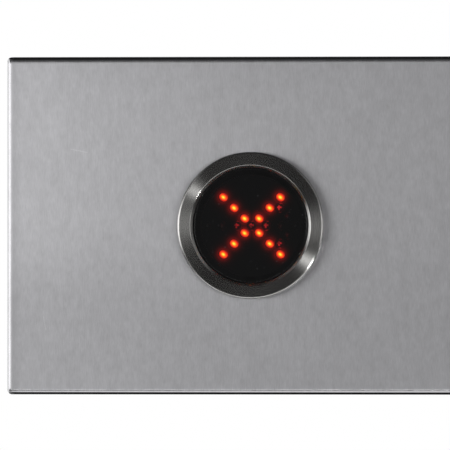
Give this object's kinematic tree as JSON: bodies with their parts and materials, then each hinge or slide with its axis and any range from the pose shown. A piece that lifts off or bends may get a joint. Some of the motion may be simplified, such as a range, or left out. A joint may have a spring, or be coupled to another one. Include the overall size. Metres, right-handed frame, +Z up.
{
  "type": "pedestrian push button",
  "caption": "Push button unit: folded brushed metal housing with a turned bezel round a spring-loaded smoked lens, a cross and an arrow of small lamps behind it, switches and wiring inside.",
  "frame": {"origin": "centre of the rear face of the wall gasket, on the wall plane", "axes": "+Z up the wall, +X to the right seen from the front, -Y out of the wall towards the user, +Y into the wall"},
  "size_m": [0.167, 0.0528, 0.115],
  "materials": {
    "brushed_stainless": "fine vertical brushing, smooth folds",
    "turned_stainless": "turned, fine concentric lay",
    "mill_stainless": "cold-rolled mill finish",
    "stainless_fixings": "bright stainless",
    "plated_fixings": "bright zinc plate",
    "black_fixings": "black oxide",
    "spring_steel": "drawn stainless wire",
    "sheet_rubber": "matt closed-cell sheet",
    "black_rubber": "matt moulded rubber",
    "smoked_lens": "clear gloss, smoked tint",
    "black_acetal": "moulded satin",
    "black_nylon": "moulded, fine texture",
    "mask_black": "dead matt black",
    "lit_red_lamp": "diffused red epoxy, lit",
    "clear_lamp": "clear epoxy, unlit",
    "black_board": "black solder resist",
    "green_board": "green solder resist on glass-epoxy",
    "gold_pins": "gold flash",
    "red_acetal": "moulded satin",
    "green_nylon": "moulded satin",
    "chip_epoxy": "moulded epoxy",
    "capacitor_sleeve": "shrink sleeve",
    "tinned_lugs": "tin plate",
    "earth_sleeve": "green and yellow sleeve"
  },
  "bodies": {
    "housing": {"front_cover": "brushed_stainless", "cover_screws": "stainless_fixings", "cover_nuts": "plated_fixings", "back_plate": "mill_stainless", "cover_brackets": "mill_stainless", "wall_gasket": "sheet_rubber", "cable_grommet": "black_rubber", "bezel_ring": "turned_stainless", "bezel_gasket": "black_rubber", "lock_washer": "plated_fixings", "bezel_nut": "plated_fixings", "return_spring": "spring_steel", "switch_body": "black_nylon", "set_screws": "black_fixings", "lamp_mask": "mask_black", "cross_lamps": "lit_red_lamp", "arrow_lamps": "clear_lamp", "lamp_board": "black_board", "lamp_board_screws": "black_fixings", "link_headers": "black_nylon", "link_pins": "gold_pins", "control_board": "green_board", "board_screws": "plated_fixings", "switch_cases": "black_nylon", "switch_pins": "gold_pins", "terminal_block": "green_nylon", "terminal_screws": "plated_fixings", "driver_chips": "chip_epoxy", "reservoir_capacitor": "capacitor_sleeve", "earth_studs": "plated_fixings", "earth_lugs": "tinned_lugs", "earth_nuts": "plated_fixings", "earth_lead": "earth_sleeve"},
    "button": {"lens": "smoked_lens", "lens_carrier": "black_acetal", "carrier_o_ring": "black_rubber"},
    "plungers": {"switch_plungers": "red_acetal"}
  },
  "joints": [
    {"name": "button_press", "type": "slide", "parent": "housing", "child": "button", "axis": [0, 1, 0], "range_m": [0, 0.0015], "stiffness_N_per_m": 1200, "springref_m": -0.003, "deforming": ["return_spring"]},
    {"name": "plunger_press", "type": "slide", "parent": "housing", "child": "plungers", "axis": [0, 1, 0], "range_m": [0, 0.0015]}
  ],
  "couplings": [
    {"joint": "plunger_press", "follows": "button_press", "ratio": 1}
  ]
}
